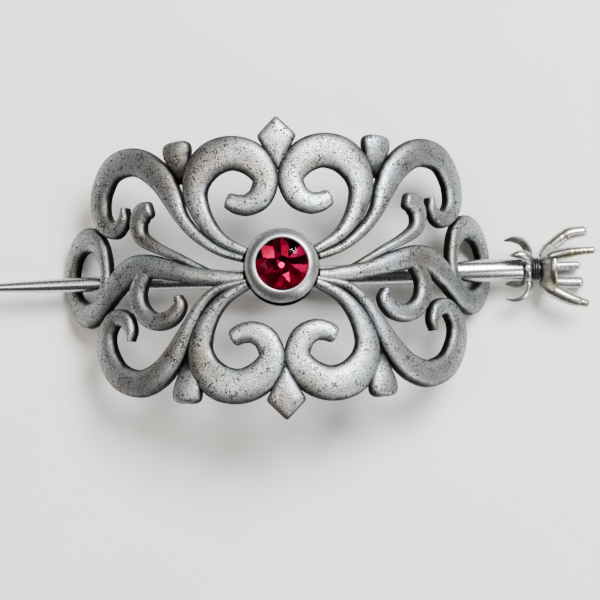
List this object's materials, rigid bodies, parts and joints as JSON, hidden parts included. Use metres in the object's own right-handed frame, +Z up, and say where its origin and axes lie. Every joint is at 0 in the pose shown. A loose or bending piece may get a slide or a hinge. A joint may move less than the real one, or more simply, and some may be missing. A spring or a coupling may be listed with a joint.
{
  "type": "hair slide with stick",
  "caption": "Domed openwork scroll hair slide with a round red stone and a tapered stick that ends in a claw.",
  "frame": {"origin": "on the surface that the slide lies on, under the middle of its whole length and width", "axes": "+X towards the stick's head, +Y across the plate, +Z up out of the dome"},
  "size_m": [0.1254, 0.0548, 0.0279],
  "materials": {
    "antique_silver": "zinc casting with antique silver plating, satin highs and dark recesses",
    "bezel_silver": "silver plated turned cup with a bright lip",
    "red_glass": "foil-backed faceted red glass",
    "adhesive": "clear epoxy",
    "polished_silver": "polished silver plated rod",
    "head_silver": "silver plated casting, darkened in its hollows",
    "oxidised_silver": "blackened ribbed ring"
  },
  "bodies": {
    "slide": {"openwork_plate": "antique_silver", "bezel_cup": "bezel_silver", "rhinestone": "red_glass", "stone_adhesive": "adhesive"},
    "stick": {"stick_shaft": "polished_silver", "talon_cuff": "head_silver", "ribbed_neck": "oxidised_silver", "claw_crown": "head_silver"}
  },
  "joints": [
    {"name": "stick_slide", "type": "slide", "parent": "slide", "child": "stick", "axis": [1, 0, 0], "range_m": [-0.003, 0.107]}
  ]
}
